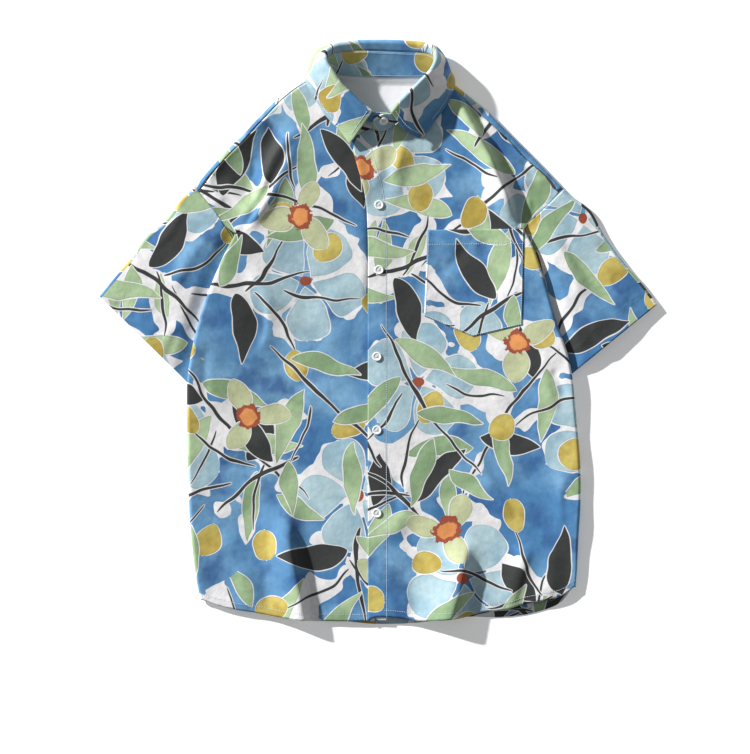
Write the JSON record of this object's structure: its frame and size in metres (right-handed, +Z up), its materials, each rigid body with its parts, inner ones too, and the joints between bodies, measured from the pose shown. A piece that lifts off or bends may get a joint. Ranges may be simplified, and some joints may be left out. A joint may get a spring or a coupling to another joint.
{
  "type": "hawaiian shirt",
  "caption": "Short-sleeved button-front shirt with a turned-down collar, button placket and pointed chest pocket, laid flat on its back with the collar standing.",
  "frame": {"origin": "on the surface the shirt lies on, under the middle of its chest", "axes": "+X to the wearer's left, +Y towards the collar, +Z up out of the surface, the way the fronts face"},
  "size_m": [0.7254, 0.7581, 0.0451],
  "materials": {
    "cloth_print": "matt printed cloth",
    "cloth_stand": "matt printed cloth, seen mostly from its pale side",
    "button": "semi-gloss"
  },
  "bodies": {
    "root": {"back": "cloth_print", "front_right": "cloth_print", "front_left": "cloth_print", "placket": "cloth_print", "pocket": "cloth_print", "sleeve_right": "cloth_print", "sleeve_left": "cloth_print", "collar_stand": "cloth_stand", "collar_fall": "cloth_print", "button_stand": "button", "button_1": "button", "button_2": "button", "button_3": "button", "button_4": "button", "button_5": "button"}
  },
  "joints": []
}
